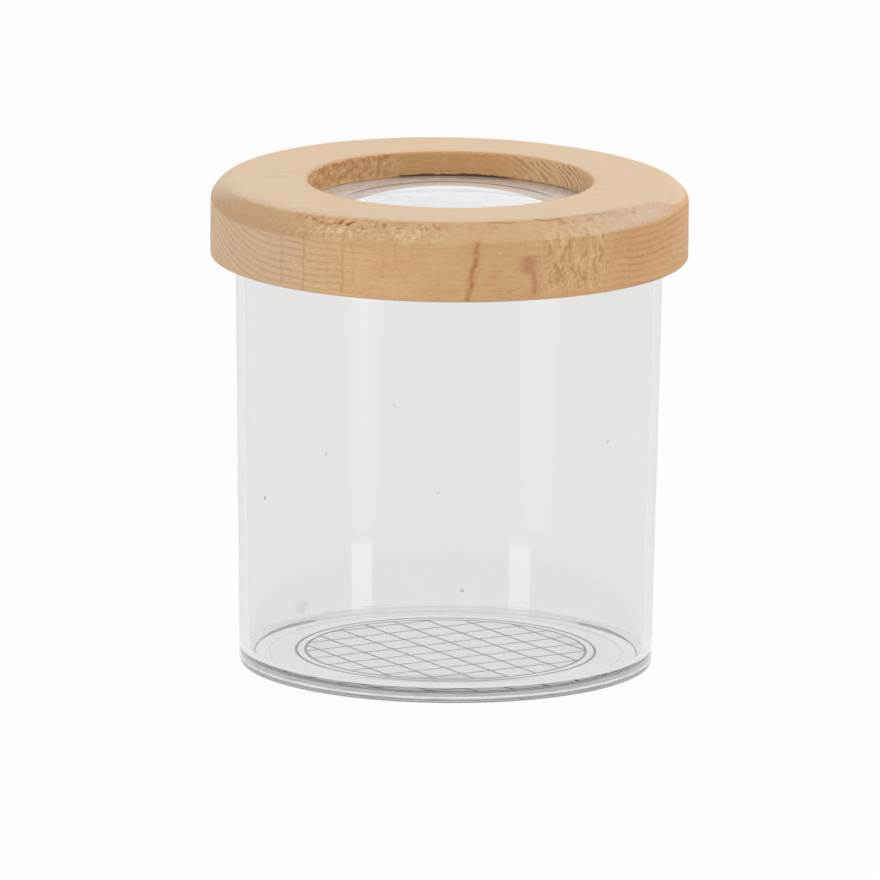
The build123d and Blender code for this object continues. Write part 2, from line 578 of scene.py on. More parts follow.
# %% [markdown]
# ## Jar
# A moulded tumbler: it widens a little towards the rim so that it leaves its mould, and it stands on
# a flat ring round a shallow recess. A cylinder with a Solidify modifier would come close, but the taper,
# the rounded rim and the recess all bend light, so the true section is spun.

# %% Spin the jar
RECESS_ROUND, FOOT_ROUND, RIM_ROUND, FLOOR_CORNER_ROUND = 0.15, 0.5, 0.45, 1.2
recess_radius = foot_radius - FOOT_WIDTH
jar_section = half_section(
    [
        (0, recess_top, 0),
        (recess_radius, recess_top, RECESS_ROUND),
        (recess_radius, 0, RECESS_ROUND),
        (foot_radius, 0, FOOT_ROUND),
        (JAR_RIM_RADIUS, jar_height, RIM_ROUND),
        (JAR_RIM_RADIUS - JAR_WALL, jar_height, RIM_ROUND),
        (foot_radius - JAR_WALL, floor_top, FLOOR_CORNER_ROUND),
        (0, floor_top, 0),
    ]
)
add_piece(spun_mesh("jar", *jar_section), jar_plastic, "jar", "jar_body")

# %% [markdown]
# ## Film
# A thin clear film in the recess under the floor carries the print. A flat disc would carry it too, but
# the film's edge shows as a faint circle, so the film is spun as a solid. Inside the printed rings it is
# a little greyer.

# %% Film
FILM_EDGE_ROUND = 0.05
RING_LINE, RING_SPACING = 0.4, 1.42
inner_ring = print_radius - RING_LINE / 2 - RING_SPACING


def inside_rings(finish):
    """1 inside the inner printed ring, 0 from that ring outwards."""
    return finish.radius().step(inner_ring - 0.2, inner_ring - 0.3)


def film_finish():
    finish = Finish(bpy.data.materials.new("clear_film"))
    haze = finish.noise(finish.place(), 0.4).step(0.3, 0.8, 0.0, 0.02)
    return finish.principled(
        Base_Color=finish.mix(inside_rings(finish), colour(245, 245, 244), colour(150, 150, 158)),
        Roughness=0.3,
        Alpha=haze + inside_rings(finish) * 0.08 + 0.01,
    )


film_section = half_section(
    [
        (0, film_bottom, 0),
        (film_radius, film_bottom, FILM_EDGE_ROUND),
        (film_radius, film_top, FILM_EDGE_ROUND),
        (0, film_top, 0),
    ]
)
add_piece(spun_mesh("film", *film_section), film_finish(), "jar", "grid_film")

# %% [markdown]
# ## Printed grid
# The squares and the two rings are ink on the film. A painted picture could show them, but it blurs close
# up, so the lines are thin solids. The first set of lines is darker than the second, and the rings are
# paler than both.

# %% Ink
GRID_PITCH, GRID_LINE, GRID_ANGLE = 5.0, 0.28, 31.0
GRID_SHIFTS = (-1.8, -1.0)  # nearest line of each set to the middle, along its normal


def ink_finish():
    finish = Finish(bpy.data.materials.new("grid_ink"))
    wear = finish.noise(finish.place(), 1.5, detail=4.0)
    across, away, _ = finish.axes(finish.place())
    turn = math.radians(GRID_ANGLE)
    from_line = (across * math.cos(turn) + away * math.sin(turn) - GRID_SHIFTS[0]) / GRID_PITCH
    on_first = (from_line + 0.5).math("FRACT").bell(0.5, 0.08).step(0.0, 0.3)
    worn = wear.step(0.4, 0.7)
    first_set = finish.mix(worn, colour(50, 50, 58), colour(80, 80, 88))
    second_set = finish.mix(worn, colour(84, 84, 92), colour(124, 124, 132))
    lines = finish.mix(on_first, second_set, first_set)
    rings = finish.mix(worn, colour(112, 112, 120), colour(140, 140, 148))
    tone = finish.mix(inside_rings(finish), rings, lines)
    return finish.principled(Base_Color=tone, Roughness=0.6)


ink = ink_finish()
print("ink:", ink.name)

# %% [markdown]
# ### Lines from a node tree
# Lines repeat, so a Geometry Nodes tree makes them: points in a row become bars, each as long as the ring
# is wide there, and circles become the rings. A loop could add each bar by hand, but the tree keeps the
# sizes as named inputs. `Builder` adds its nodes in the same way as `Finish` does for a material.

# %% Builder
class Builder:
    """A Geometry Nodes tree under construction."""

    def __init__(self, name):
        self.tree = bpy.data.node_groups.new(name, "GeometryNodeTree")
        self.tree.interface.new_socket("Geometry", in_out="OUTPUT", socket_type="NodeSocketGeometry")
        self.sizes = {}

    def size(self, name, value):
        socket = self.tree.interface.new_socket(name, in_out="INPUT", socket_type="NodeSocketFloat")
        self.sizes[socket.identifier] = value

    def node(self, kind, settings=None, sockets=None):
        made = self.tree.nodes.new(kind)
        for name, value in (settings or {}).items():
            setattr(made, name, value)
        for key, value in (sockets or {}).items():
            links = value if isinstance(value, list) else [value]
            if isinstance(links[0], bpy.types.NodeSocket):
                for link in links:
                    self.tree.links.new(link, made.inputs[key])
            else:
                made.inputs[key].default_value = value
        return made.outputs[0] if made.outputs else None

    def math(self, operation, *values):
        return self.node("ShaderNodeMath", {"operation": operation}, dict(enumerate(values)))


print("Builder adds:", ", ".join(name for name in vars(Builder) if not name.startswith("_")))

# %% [markdown]
# ### Bars and rings
# Each bar is a cube, stretched to the line's width and to the room inside the ring at its place. Long bars
# could be cut to the ring by a Boolean, but a right-angled triangle gives their length at once. A ring is
# a small rectangle swept round a circle.

# %% Bars and rings
CIRCLE_STEPS = 180
bar_count = 2 * math.ceil(print_radius / GRID_PITCH) + 1


def grid_bars(build, given, inner, turn, shift):
    """Parallel bars across the inner ring, each ending on it."""
    from_middle = build.math("SUBTRACT", build.node("GeometryNodeInputIndex"), (bar_count - 1) / 2)
    spacing = build.math("MULTIPLY_ADD", from_middle, given["Pitch"], shift * MM)
    row = build.node("GeometryNodePoints", None, {"Count": bar_count})
    spot = build.node("ShaderNodeCombineXYZ", None, {"X": spacing})
    row = build.node("GeometryNodeSetPosition", None, {"Geometry": row, "Position": spot})
    offset = build.node("ShaderNodeSeparateXYZ", None, {0: build.node("GeometryNodeInputPosition")})
    inner_square = build.math("MULTIPLY", inner, inner)
    room = build.math("SUBTRACT", inner_square, build.math("MULTIPLY", offset, offset))
    outside = build.math("LESS_THAN", room, 0.0)
    length = build.math("MULTIPLY", build.math("SQRT", build.math("MAXIMUM", room, 0.0)), 2.0)
    row = build.node("GeometryNodeDeleteGeometry", None, {"Geometry": row, "Selection": outside})
    sides = {"X": given["Grid line"], "Y": length, "Z": given["Thickness"]}
    stretch = build.node("ShaderNodeCombineXYZ", None, sides)
    bar = build.node("GeometryNodeMeshCube", None, {"Size": (1, 1, 1)})
    set_out = {"Points": row, "Instance": bar, "Scale": stretch}
    bars = build.node("GeometryNodeInstanceOnPoints", None, set_out)
    bars = build.node("GeometryNodeRealizeInstances", None, {"Geometry": bars})
    spin = (0, 0, math.radians(GRID_ANGLE + turn))
    return build.node("GeometryNodeTransform", None, {"Geometry": bars, "Rotation": spin})


def grid_ring(build, given, radius):
    """One printed circle."""
    size = {"Resolution": CIRCLE_STEPS, "Radius": radius}
    circle = build.node("GeometryNodeCurvePrimitiveCircle", None, size)
    sides = {"Width": given["Ring line"], "Height": given["Thickness"]}
    stroke = build.node("GeometryNodeCurvePrimitiveQuadrilateral", None, sides)
    return build.node("GeometryNodeCurveToMesh", None, {"Curve": circle, "Profile Curve": stroke})


print("bars in each set, before those outside the ring are deleted:", bar_count)

# %% [markdown]
# ### Whole grid
# The tree joins the bars and the rings, lifts them to their level and gives them the ink. The modifier
# could stay on the piece, but a plain mesh is simpler, so the tree runs once and its result is kept.

# %% Grow the grid
INK_BITE = 0.02  # the ink reaches this far into the floor, so that no faces coincide


def grid_tree(material):
    build = Builder("printed_grid")
    sizes = {
        "Ring radius": print_radius - RING_LINE / 2,
        "Ring spacing": RING_SPACING,
        "Ring line": RING_LINE,
        "Grid line": GRID_LINE,
        "Pitch": GRID_PITCH,
        "Level": print_bottom,
        "Thickness": print_top - print_bottom + INK_BITE,
    }
    for name, value in sizes.items():
        build.size(name, value * MM)
    given = build.tree.nodes.new("NodeGroupInput").outputs
    inner = build.math("SUBTRACT", given["Ring radius"], given["Ring spacing"])
    shapes = [grid_bars(build, given, inner, turn, shift) for turn, shift in zip((0, 90), GRID_SHIFTS)]
    shapes += [grid_ring(build, given, radius) for radius in (inner, given["Ring radius"])]
    joined = build.node("GeometryNodeJoinGeometry", None, {0: shapes})
    middle = build.math("MULTIPLY_ADD", given["Thickness"], 0.5, given["Level"])
    lift = build.node("ShaderNodeCombineXYZ", None, {"Z": middle})
    placed = build.node("GeometryNodeTransform", None, {"Geometry": joined, "Translation": lift})
    whole = build.node("GeometryNodeRealizeInstances", None, {"Geometry": placed})
    inked = build.node("GeometryNodeSetMaterial", None, {"Geometry": whole, "Material": material})
    build.node("NodeGroupOutput", None, {"Geometry": inked})
    return build


def grown_mesh(name, build):
    """Runs a Geometry Nodes tree once and keeps its result as a plain mesh."""
    holder = bpy.data.objects.new(name, bpy.data.meshes.new(name + "_seed"))
    bpy.context.scene.collection.objects.link(holder)
    modifier = holder.modifiers.new("tree", "NODES")
    modifier.node_group = build.tree
    for identifier, value in build.sizes.items():
        modifier[identifier] = value
    graph = bpy.context.evaluated_depsgraph_get()
    mesh = bpy.data.meshes.new_from_object(holder.evaluated_get(graph))
    mesh.name = name
    bpy.data.objects.remove(holder)
    return mesh


add_piece(grown_mesh("grid", grid_tree(ink)), ink, "jar", "grid_print")

# %% [markdown]
# ## Magnifier cap
# One clear moulding: a flat flange with the lens dome in its middle, a raised edge that the wood sits
# on, and a skirt that slips over the jar's rim. The dome could be a squashed sphere, but an arc of the
# true radius meets the flange at the right slope, and that slope does the magnifying.

# %% Spin the cap
SKIRT_WALL, BEAD_WIDTH = 1.24, 3.5
SKIRT_ROUND, BEAD_ROUND, INNER_CORNER_ROUND = 0.3, 0.05, 0.02
LENS_STEPS = 24
lens_rise = lens_top - flange_top
dome_radius = (lens_radius**2 + lens_rise**2) / (2 * lens_rise)
skirt_inside = cap_radius - SKIRT_WALL
flat_points, flat_normals = half_section(
    [
        (0, jar_height, 0),
        (skirt_inside, jar_height, INNER_CORNER_ROUND),
        (skirt_inside, cap_bottom, SKIRT_ROUND),
        (cap_radius, cap_bottom, SKIRT_ROUND),
        (cap_radius, web_bottom, SKIRT_ROUND),
        (cap_radius - BEAD_WIDTH, web_bottom, BEAD_ROUND),
        (cap_radius - BEAD_WIDTH, flange_top, BEAD_ROUND),
        (lens_radius, flange_top, 0),
    ]
)
tilt = np.linspace(math.asin(lens_radius / dome_radius), 0, LENS_STEPS)
dome_normals = np.stack([np.sin(tilt), np.cos(tilt)], -1)
dome_points = dome_normals * dome_radius + (0, lens_top - dome_radius)
dome_points[-1, 0] = 0
cap_points = np.concatenate([flat_points, dome_points])
cap_normals = np.concatenate([flat_normals, dome_normals])
cap_mesh = spun_mesh("magnifier_cap", cap_points, cap_normals)
add_piece(cap_mesh, cap_plastic, "cap", "lens_cap")

# %% [markdown]
# ## Wooden ring
# Softwood with its fibres running left to right. The bevel was cut by hand: it is wide at the front, deeper
# on the left, and only a rounded shoulder at the two ends. A Bevel modifier cuts one even width, so the
# section is worked out for each bearing instead. The wood is dented later, so the stretches of the section
# that show are cut into short steps.

# %% Section of the ring
RING_STEPS = 900
BEVELS = [  # bearing from the front, positive to the right; width, height, lower and upper rounding
    (-180, 2.8, 2.4, 1.5, 4.0),
    (-150, 2.0, 2.4, 2.0, 4.0),
    (-120, 1.7, 2.4, 2.2, 4.0),
    (-90, 1.8, 2.5, 2.0, 4.0),
    (-68, 2.9, 3.4, 0.6, 4.5),
    (-40, 3.4, 3.4, 0.6, 4.5),
    (-15, 4.5, 2.9, 0.6, 4.5),
    (10, 4.9, 2.6, 0.6, 4.0),
    (45, 4.2, 2.5, 0.6, 4.0),
    (58, 3.6, 2.4, 0.8, 4.0),
    (73, 2.3, 2.4, 1.8, 4.0),
    (100, 2.3, 2.4, 2.0, 4.0),
    (125, 3.8, 2.4, 2.0, 4.0),
    (150, 4.0, 2.4, 1.5, 4.0),
]
BEVEL_BLEND = 8  # degrees to either side over which the shapes are averaged
HOLE_LIP = 0.2  # the hole's lower edge hangs this far below the web
LOWER_ROUND, HOLE_ROUND, LIP_ROUND = 0.5, 0.5, 0.08
HIDDEN_ROUND, WEB_CORNER_ROUND = 0.2, 0.02
CORNER_STEPS = [2, 4, 6, 7, 6, 3, 1]  # in each rounded corner, from the bore's lower edge outwards
STRETCH_STEPS = [2, 32, 10, 11, 9, 2, 2]  # in the straight stretch after each corner


def ring_section(bevel_width, bevel_height, lower_round, upper_round):
    """Points and normals round the ring's section, with the stretches that show cut into short steps."""
    corners = [
        (LID_BORE, lid_bottom, HIDDEN_ROUND),
        (lid_radius, lid_bottom, LOWER_ROUND),
        (lid_radius, lid_top - bevel_height, lower_round),
        (lid_radius - bevel_width, lid_top, upper_round),
        (HOLE_RADIUS, lid_top, HOLE_ROUND),
        (HOLE_RADIUS, web_bottom - HOLE_LIP, LIP_ROUND),
        (LID_BORE, web_bottom, WEB_CORNER_ROUND),
    ]
    arcs = [corner_arc(corners, index, steps) for index, steps in enumerate(CORNER_STEPS)]
    points, normals = [], []
    for index, count in enumerate(STRETCH_STEPS):
        arc_points, arc_normals = arcs[index]
        points += list(arc_points)
        normals += list(arc_normals)
        end = arcs[(index + 1) % len(arcs)][0][0]
        for cut in range(1, count):
            points.append(arc_points[-1] + (end - arc_points[-1]) * cut / count)
            normals.append(arc_normals[-1])
    return np.array(points), np.array(normals)


def bevel_shapes(bearings):
    """Width, height, lower and upper rounding of the bevel at each bearing."""
    places, *columns = zip(*BEVELS)
    near = [bearings + shift for shift in range(-BEVEL_BLEND, BEVEL_BLEND + 1)]

    def blended(column):
        return np.mean([np.interp(turn, places, column, period=360) for turn in near], axis=0)

    return [blended(column) for column in columns]


angle = np.arange(RING_STEPS) * 2 * math.pi / RING_STEPS
bearing = np.degrees(np.arctan2(np.cos(angle), -np.sin(angle)))
shapes = bevel_shapes(bearing)
sections = [ring_section(*shape) for shape in zip(*shapes)]
section, slope = [np.stack(column, axis=1) for column in zip(*sections)]
print("section points:", len(section), "triangles:", 2 * len(section) * RING_STEPS)

# %% [markdown]
# ### Bearing and level
# Every point of the ring gets a bearing, the angle from the front of the lid, positive to the right,
# and a level, its height above the lid's lower edge. The marks are placed by these two. They could be
# painted on in Blender, but two numbers are easier to move. Each part of the surface gets a soft mask.

# %% Lay the section round the ring
NO_LIMIT = 999  # stands for a window's open end


def window(value, low, high, soft):
    """1 between low and high, falling smoothly to 0 outside."""
    rise = np.clip((value - low) / soft + 0.5, 0, 1)
    fall = np.clip((high - value) / soft + 0.5, 0, 1)
    return rise * rise * (3 - 2 * rise) * fall * fall * (3 - 2 * fall)


bevel_width, bevel_height = shapes[:2]
radius, level = section[..., 0], section[..., 1] - lid_bottom
bearing = np.broadcast_to(bearing, radius.shape)
arc = np.radians(bearing) * lid_radius
top_level = lid_top - lid_bottom
hole_level = web_bottom - lid_bottom
bevel_edge = lid_radius - bevel_width
arris = top_level - bevel_height
outside = window(radius, bevel_edge - 0.8, NO_LIMIT, 0.8) * window(level, 0.25, NO_LIMIT, 0.3)
in_hole = window(radius, 0, HOLE_RADIUS + 0.12, 0.2)
in_hole = in_hole * window(level, hole_level + 0.1, top_level - 0.25, 0.3)
clear_cut = window(bevel_width, 2.6, NO_LIMIT, 0.8)  # 0 where the bevel is only a rounded shoulder
plain_edge = bevel_edge * clear_cut + (lid_radius - 0.5) * (1 - clear_cut)
plain_depth = 0.9 + 1.4 * (1 - clear_cut)
# the planed top: fewer flecks and growth lines there, and a painted sheen in the finish
planed = window(radius, HOLE_RADIUS + 0.4, plain_edge + 0.2, 0.7)
planed = planed * window(level, top_level - plain_depth, NO_LIMIT, 1.6 - 0.8 * clear_cut)
bevel = clear_cut * window(radius, bevel_edge, NO_LIMIT, 0.7) * window(level, arris, NO_LIMIT, 0.7)
print("bearing runs from", bearing.min(), "to", bearing.max())

# %% [markdown]
# ### Marks in the wood
# The cutter tore the wood where it met the fibres at a bad angle, and left fine upright marks on the side.
# There are also cracks along the bevel, a resin streak and the marks of a knot. All could come from noise
# alone, but then none would be where this lid has it, so each is listed.

# %% Where the marks are
UPRIGHT_MARKS = [  # bearing, strength, height from, height to, slip of the growth lines
    (-58.5, 0.30, 2.5, 8.0, 0.10),
    (-44.3, 0.70, 0.6, 8.6, -0.16),
    (-37.3, 1.00, 0.2, 9.4, 0.20),
    (-30.4, 0.30, 1.0, 8.0, -0.14),
    (-26.4, 0.80, 0.2, 9.4, 0.16),
    (-23.7, 0.35, 2.0, 9.2, -0.08),
    (-15.9, 0.50, 3.4, 9.2, 0.10),
    (-12.9, 0.35, 5.0, 9.4, -0.06),
    (33.0, 0.40, 2.0, 10.2, 0.15),
    (37.5, 0.45, 1.0, 10.4, -0.12),
    (48.4, 0.20, 1.2, 9.0, 0.14),
    (128.0, 0.60, 0.4, 8.6, 0.14),
    (139.0, 0.50, 1.0, 9.0, -0.18),
    (152.0, 0.40, 2.0, 8.6, 0.12),
    (-118.0, 0.60, 0.5, 8.8, -0.15),
    (-131.0, 0.70, 0.5, 9.0, 0.18),
    (-143.0, 0.40, 2.0, 9.0, -0.10),
]
TORN_PATCHES = [  # bearing from, bearing to, height from, height to, strength
    (-43, -2, 8.9, 11.3, 1.0),
    (-8, 14, 9.5, 11.2, 0.35),
    (21, 41, 0.6, 10.4, 0.30),
    (27, 62, 9.4, 11.3, 0.70),
    (146, 172, 1.0, 10.8, 0.60),
    (-162, -138, 8.6, 11.4, 0.80),
]
DRIP_PATCHES = [(23, 41), (147, 160)]  # bearings of torn fibres that hang like drips
TORN_WALL = (-80, -22)  # on the far side of the hole, from the left
EDGE_CRACKS = [  # bearing from, bearing to, strength
    (10.4, 17.8, 1.0),
    (23.2, 32.1, 1.0),
    (36.4, 50.2, 0.45),
    (155, 166, 1.0),
]
RESIN_STREAK = ((7.0, 9.4), (4.4, 0.0))  # bearing and height of its two ends
KNOT_MARKS = [((18.9, 6.9), (19.7, 4.2), 1.2), ((20.5, 4.9), (21.0, 0.9), 0.5)]  # ends and half width
DARK_FACET = (-84, -38)  # bearings of the bevel's left end, which is darker
print("upright marks:", len(UPRIGHT_MARKS), "torn patches:", len(TORN_PATCHES))

# %% [markdown]
# ### Torn wood
# Torn softwood shows pits where fibres broke out, and pale fibres that stand up or hang like drips.
# Sculpting could make them by hand. Noise inside the listed patches gives the same result on each run.

# %% Torn wood and drips
def speckle(first, second, third, octaves, seed):
    """Fractal noise of about -1 to 1 at each of the given places."""
    places = np.stack([first.ravel() + 17.3 * seed, second.ravel() - 9.1 * seed, third.ravel()], -1)
    values = [noise.fractal(Vector(place), 0.9, 2.1, octaves) for place in places]
    return np.array(values).reshape(first.shape)


tear = speckle(arc * 1.1, level * 1.6, radius * 0.8, 3, 1)
strands = speckle(arc * 1.2, level * 2.0, radius * 0.9, 3, 2)
patchy = speckle(arc * 0.16, level * 0.2, radius * 0.1, 2, 3)
torn = np.zeros_like(radius)
for first, last, low, high, strength in TORN_PATCHES:
    patch = window(bearing, first, last, 8) * window(level, low, high, 0.9) * strength
    torn = np.maximum(torn, patch * outside)
far_bearing = np.degrees(np.arctan2(np.cos(angle), np.sin(angle)))[None, :]
torn_wall = in_hole * window(far_bearing, *TORN_WALL, 16)
torn = np.maximum(torn, 0.6 * torn_wall) * np.clip(0.75 + 0.6 * patchy, 0.2, 1)
upper_bevel = window(level, top_level - 0.4 * bevel_height, top_level - 0.05, 0.5)
pits = torn * np.clip((tear - 0.02) * 5.0, 0, 1) * (0.2 + 0.8 * upper_bevel)
fibres = torn * np.clip((strands - 0.02) * 3.6, 0, 1) * (1 - 0.8 * upper_bevel)

hole_arc = np.radians(far_bearing) * HOLE_RADIUS + radius * 0
flakes = speckle(hole_arc * 0.8 + level * 0.6, level * 1.1 - hole_arc * 0.4, radius * 0, 3, 7)
pits = np.maximum(pits, 0.42 * torn_wall * np.clip((flakes - 0.05) * 3.0, 0, 1))
fibres = np.maximum(fibres, 0.8 * torn_wall * np.clip((-flakes - 0.05) * 3.0, 0, 1))

drip_wander = speckle(level * 0.4, arc * 0.1, radius * 0, 2, 4)
drip_field = speckle(arc * 1.3 + 0.6 * drip_wander, level * 0.28, radius * 0, 2, 5)
dripping = sum(window(bearing, first, last, 5) for first, last in DRIP_PATCHES)
dripping = dripping * window(level, 1.0, 10.0, 2.0) * outside
drips = dripping * np.exp(-((drip_field / 0.09) ** 2))
grooves = dripping * np.exp(-(((drip_field - 0.26) / 0.10) ** 2))
print("torn share of the ring:", round(float(torn.mean()), 4))

# %% [markdown]
# ### Lines and the darker facet
# The upright marks, the resin streak and the knot are soft lines between two places on the side, and the
# left end of the bevel is darker. Curves could be cut into the mesh for them, but they are so shallow
# that a mask over the points does as well.

# %% Marks, cracks and the darker facet
MARK_HALF_WIDTH, RESIN_HALF_WIDTH = 0.15, 0.44


def line_between(ends_of_line, half_width):
    """Soft line on the side between two places, each a bearing and a height."""
    (start_bearing, start_height), (end_bearing, end_height) = ends_of_line
    share = np.clip((level - start_height) / (end_height - start_height), 0, 1)
    middle = start_bearing + (end_bearing - start_bearing) * share
    wander = 0.14 * np.sin(level * 1.7) + 0.06 * np.sin(level * 4.1)
    across = np.radians(bearing - middle) * lid_radius + wander
    low, high = sorted((start_height, end_height))
    return np.exp(-((across / half_width) ** 2)) * window(level, low, high, 0.8) * outside


marks = np.zeros_like(radius)
slip = np.zeros_like(radius)
for place, strength, low, high, jump in UPRIGHT_MARKS:
    upright = line_between(((place, low), (place, high)), MARK_HALF_WIDTH)
    marks = np.maximum(marks, strength * upright)
    slip = slip + jump * window(bearing, place, NO_LIMIT, 0.8)
crack_windows = [strength * window(bearing, first, last, 3) for first, last, strength in EDGE_CRACKS]
cracked = np.maximum.reduce(crack_windows) * outside
resin = line_between(RESIN_STREAK, RESIN_HALF_WIDTH)
knot = np.maximum.reduce([line_between(ends, half_width) for *ends, half_width in KNOT_MARKS])
whole_facet = window(level, arris - 0.3, top_level - 0.65, 0.25)
lower_edge = window(level, arris - 0.3, arris + 1.0, 0.8)
burnish = 0.65 * whole_facet + 0.35 * lower_edge
burnish = burnish * outside * window(bearing, *DARK_FACET, 12)
print("marked share of the ring:", round(float(marks.mean()), 4))

# %% [markdown]
# ### Mesh of the ring
# Bump in the finish could fake the dents, but raking light would show none, and the mesh would hold
# none. So each point is pushed in along the section's normal, never out, and each kind of mark is also
# kept as a mask for the finish.

# %% Mesh of the ring
PIT_DEPTH, GROOVE_DEPTH, MARK_DEPTH, RAGGED_DEPTH = 0.28, 0.10, 0.06, 0.12
FIBRE_RISE, DRIP_RISE, RIPPLE_RISE = 0.05, 0.05, 0.03


def ring_push():
    """How far each point moves along its normal, in millimetres: 0 at the most, and less in a dent."""
    ripple = speckle(arc * 0.12, level * 0.25, radius * 0.2, 2, 6)
    ragged = in_hole * window(level, 0, hole_level + 0.5, 0.4) * np.clip(strands, 0, 1)
    dents = PIT_DEPTH * pits + GROOVE_DEPTH * grooves + MARK_DEPTH * marks + RAGGED_DEPTH * ragged
    rises = FIBRE_RISE * fibres + DRIP_RISE * drips
    rises = rises + np.maximum(outside, in_hole) * RIPPLE_RISE * ripple
    total = rises - dents
    return total - total.max()


def ring_mesh(name, push):
    reach, height = np.moveaxis(section + slope * push[..., None], -1, 0)
    points = np.stack([reach * np.cos(angle), reach * np.sin(angle), height], -1) * MM
    index = np.arange(radius.size).reshape(radius.shape)
    right, up = np.roll(index, -1, axis=1), np.roll(index, -1, axis=0)
    faces = np.stack([index, right, np.roll(right, -1, axis=0), up], -1).reshape(-1, 4)
    mesh = bpy.data.meshes.new(name)
    mesh.from_pydata(points.reshape(-1, 3).tolist(), [], faces.tolist())
    mesh.polygons.foreach_set("use_smooth", [True] * len(mesh.polygons))
    masks = {"pits": pits + grooves * 0.55, "fibres": fibres + drips, "torn": torn, "marks": marks}
    masks |= {"cracked": cracked, "resin": resin, "knot": knot, "burnish": burnish}
    masks |= {"slip": slip, "planed": planed, "bevel": bevel, "hole": in_hole}
    for title, values in masks.items():
        layer = mesh.attributes.new(title, "FLOAT", "POINT")
        layer.data.foreach_set("value", values.astype(np.float32).ravel())
    return mesh


ring_depths = ring_push()
ring = ring_mesh("wooden_ring", ring_depths)
print("deepest dent, mm:", round(-float(ring_depths.min()), 2))

# %% [markdown]
# ## Softwood
# Growth rings are shells round the middle of the tree. In this board the shells curve up towards the
# back, so they are written as one height that bends with distance, and the dark latewood line is the
# end of each step. On the right, past the knot, they lie flat. A picture of wood could be wrapped round
# the ring, but its lines wouldn't run on from the side to the top as growth rings do.

# %% Growth lines
SHELL_PITCH = 1.05
SHELL_CENTRE, SHELL_BEND = 32.0, 110.0


def growth_lines(finish):
    """Dark ends of the growth layers, already faded where the wood hardly shows them."""
    across, away, height = finish.axes(finish.place())
    left = across.step(-8.0, -22.0)
    right = across.step(20.0, 28.0)
    bend = (away + SHELL_CENTRE) * (away + SHELL_CENTRE) / SHELL_BEND
    wander = finish.noise(finish.place((0.02, 0.09, 0.09)), detail=2.0)
    shell = height - bend * (1.0 - right) + wander * 2.0 + finish.mask("slip")
    turn = (shell / SHELL_PITCH).math("FRACT")
    late = turn.step(0.45, 0.90) * turn.step(1.0, 0.92)
    patchy = finish.noise(finish.place((0.12, 0.3, 0.5)), detail=2.0).step(0.3, 0.65, 0.35, 1.0)
    strength = (0.09 + left * 0.23 + right * 0.20) * patchy
    plain = finish.mask("planed").math("MAXIMUM", finish.mask("bevel") * 0.75)
    return late * strength * (1.0 - plain * 0.9) * (1.0 - finish.mask("burnish") * 0.6)


print("growth layers in the side:", round((lid_top - lid_bottom) / SHELL_PITCH))

# %% [markdown]
# ### Tones of the wood
# The planed top and the bevel are paler and greyer than the side: a painted sheen, brightest on the bevel's
# right, where painted light falls. The hole's wall is redder, painted for the light that bounces about in
# it, and paler on its right, painted light. One even brown would be simpler, but the lid would look like
# plastic. So tones are laid over each other like thin washes, each where its mask says.

# %% Sound wood
def layered(finish, base, layers):
    """Tones laid over a base colour one after another, each by its own amount."""
    for amount, tone in layers:
        base = finish.mix(amount, base, colour(*tone))
    return base


def wood_tone(finish, fibre):
    """Colour of sound wood: warmer on the right and paler on the left end, with a painted sheen on the
    planed top and the bevel and painted light in the hole.
    """
    bevel_mask, hole_mask = finish.mask("bevel"), finish.mask("hole")
    across = finish.axes(finish.place())[0]
    cloud = finish.noise(finish.place((0.05, 0.10, 0.10)), detail=2.0)
    base = finish.mix(cloud.step(0.3, 0.7), colour(207, 160, 108), colour(217, 175, 126))
    layers = [
        (across.step(-14.0, -29.0) * 0.7, (210, 182, 155)),
        (across.step(16.0, 30.0) * 0.45, (208, 152, 102)),
        # painted sheen on the bevel, paler still on its right, where painted light falls
        (bevel_mask * 0.7, (202, 166, 122)),
        (bevel_mask * across.step(8.0, 30.0) * 0.7, (208, 184, 164)),
        # painted sheen: the top is paler and greyer, as low light glancing off it makes it look
        (finish.mask("planed") * 0.9, (218, 193, 163)),
        # painted light: the hole's wall is redder for the light that bounces in it, and paler on its right
        (hole_mask * 0.7, (216, 160, 104)),
        (hole_mask * across.step(6.0, 14.0) * 0.85, (236, 196, 152)),
        (finish.mask("burnish") * 0.6, (186, 144, 104)),
        (fibre.step(0.45, 0.8) * 0.20, (176, 124, 80)),
        (fibre.step(0.5, 0.2) * 0.16, (230, 202, 160)),
    ]
    return layered(finish, base, layers)


print("share of the ring that is planed:", round(float(planed.mean()), 3))

# %% [markdown]
# ### Fine lines
# Thin cracks follow the bevel's upper edge, growth lines slant across the right of the hole's far wall,
# and painted shade darkens the gap under its middle. The cracks could be cut into the mesh, and the gap
# cut deeper to cast that shade, but they are finer than its steps, so all three are colour only.

# %% Cracks and the hole's wall
CRACK_DEPTH, CRACK_WIDTH = 0.42, 0.10
SLANT_PITCH, SLANT_LEAN = 1.6, 1.5
GAP_SHADE_MIDDLE, GAP_SHADE_REACH = 0.6, 11.5  # painted shade of the gap, along the hole's far wall, from its middle


def edge_cracks(finish):
    """Thin cracks that follow the upper edge of the bevel."""
    across, _, height = finish.axes(finish.place())
    wander = (across * 0.9).math("SINE") * 0.06 + (across * 2.3).math("SINE") * 0.03
    return (height + wander).bell(lid_top - CRACK_DEPTH, CRACK_WIDTH) * finish.mask("cracked")


